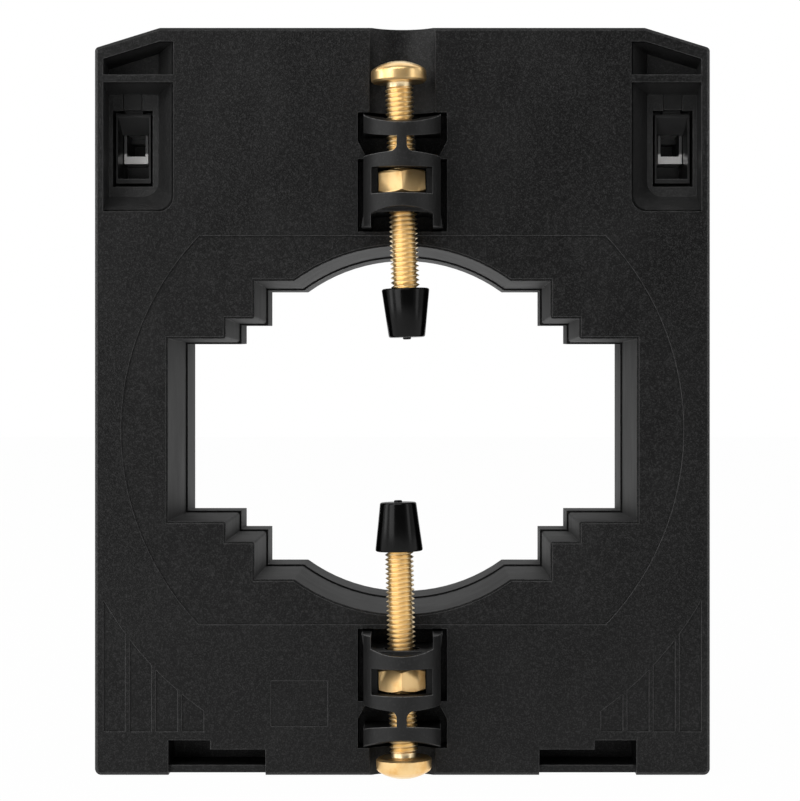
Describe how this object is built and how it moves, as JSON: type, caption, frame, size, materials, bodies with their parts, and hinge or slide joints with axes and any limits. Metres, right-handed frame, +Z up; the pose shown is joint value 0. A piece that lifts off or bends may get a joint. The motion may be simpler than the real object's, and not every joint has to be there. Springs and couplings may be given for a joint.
{
  "type": "window-type current transformer",
  "caption": "Black window-type current transformer with a stepped busbar opening, brass clamp screws on its front and cage terminals in its upper corners.",
  "frame": {"origin": "middle of the flat base, halfway through the housing's 50 mm depth", "axes": "+Z up, +X to the right seen from the front, the front face with the clamps looks along -Y"},
  "size_m": [0.107, 0.0612, 0.13],
  "materials": {
    "housing_black": "fine spark texture, black",
    "yellow_tape": "polyester wrapping film",
    "enamelled_wire": "enamelled copper wire",
    "card_insulation": "matt insulating card",
    "core_steel": "wound silicon steel strip",
    "holder_black": "semi-gloss black",
    "clamp_brass": "bright turned brass",
    "cap_black": "glossy black",
    "insert_black": "smooth black",
    "nickel_plate": "nickel-plated steel",
    "zinc_steel": "zinc-plated steel",
    "tinned_brass": "tinned brass"
  },
  "bodies": {
    "housing": {"front_shell": "housing_black", "rear_shell": "housing_black", "winding_tape": "yellow_tape", "secondary_winding": "enamelled_wire", "core_insulation": "card_insulation", "ring_core": "core_steel", "top_nut_holder": "holder_black", "top_clamp_nut": "clamp_brass", "bottom_nut_holder": "holder_black", "bottom_clamp_nut": "clamp_brass", "left_terminal_insert": "insert_black", "left_contact_bar": "tinned_brass", "left_winding_lead": "enamelled_wire", "right_terminal_insert": "insert_black", "right_contact_bar": "tinned_brass", "right_winding_lead": "enamelled_wire"},
    "top_cap": {"top_clamp_cap": "cap_black"},
    "top_screw": {"top_clamp_screw": "clamp_brass"},
    "bottom_cap": {"bottom_clamp_cap": "cap_black"},
    "bottom_screw": {"bottom_clamp_screw": "clamp_brass"},
    "left_cage": {"left_terminal_cage": "nickel_plate"},
    "left_wire_screw": {"left_terminal_screw": "zinc_steel"},
    "right_cage": {"right_terminal_cage": "nickel_plate"},
    "right_wire_screw": {"right_terminal_screw": "zinc_steel"}
  },
  "joints": [
    {"name": "top_cap_travel", "type": "slide", "parent": "housing", "child": "top_cap", "axis": [0.0314, 0, -0.9995], "range_m": [-0.0126, 0.0051]},
    {"name": "top_screw_turn", "type": "hinge", "parent": "top_cap", "child": "top_screw", "pos_m": [0, -0.0295, 0.10265], "axis": [0.0314, 0, -0.9995], "range_deg": [-5672, 2297]},
    {"name": "bottom_cap_travel", "type": "slide", "parent": "housing", "child": "bottom_cap", "axis": [-0.0227, 0, 0.9997], "range_m": [-0.0164, 0.0014]},
    {"name": "bottom_screw_turn", "type": "hinge", "parent": "bottom_cap", "child": "bottom_screw", "pos_m": [0, -0.0295, 0.01735], "axis": [-0.0227, 0, 0.9997], "range_deg": [-7382, 632]},
    {"name": "left_wire_screw_turn", "type": "hinge", "parent": "housing", "child": "left_wire_screw", "pos_m": [-0.04775, -0.01, 0.12], "axis": [0, 0, -1], "range_deg": [-2090, 2702]},
    {"name": "left_cage_lift", "type": "slide", "parent": "housing", "child": "left_cage", "axis": [0, 0, 1], "range_m": [-0.0029, 0.00375]},
    {"name": "right_wire_screw_turn", "type": "hinge", "parent": "housing", "child": "right_wire_screw", "pos_m": [0.04775, -0.01, 0.12], "axis": [0, 0, -1], "range_deg": [-2090, 2702]},
    {"name": "right_cage_lift", "type": "slide", "parent": "housing", "child": "right_cage", "axis": [0, 0, 1], "range_m": [-0.0029, 0.00375]}
  ],
  "couplings": [
    {"joint": "top_screw_turn", "follows": "top_cap_travel", "rad_per_m": 7854},
    {"joint": "bottom_screw_turn", "follows": "bottom_cap_travel", "rad_per_m": 7854},
    {"joint": "left_wire_screw_turn", "follows": "left_cage_lift", "rad_per_m": 12566},
    {"joint": "right_wire_screw_turn", "follows": "right_cage_lift", "rad_per_m": 12566}
  ]
}
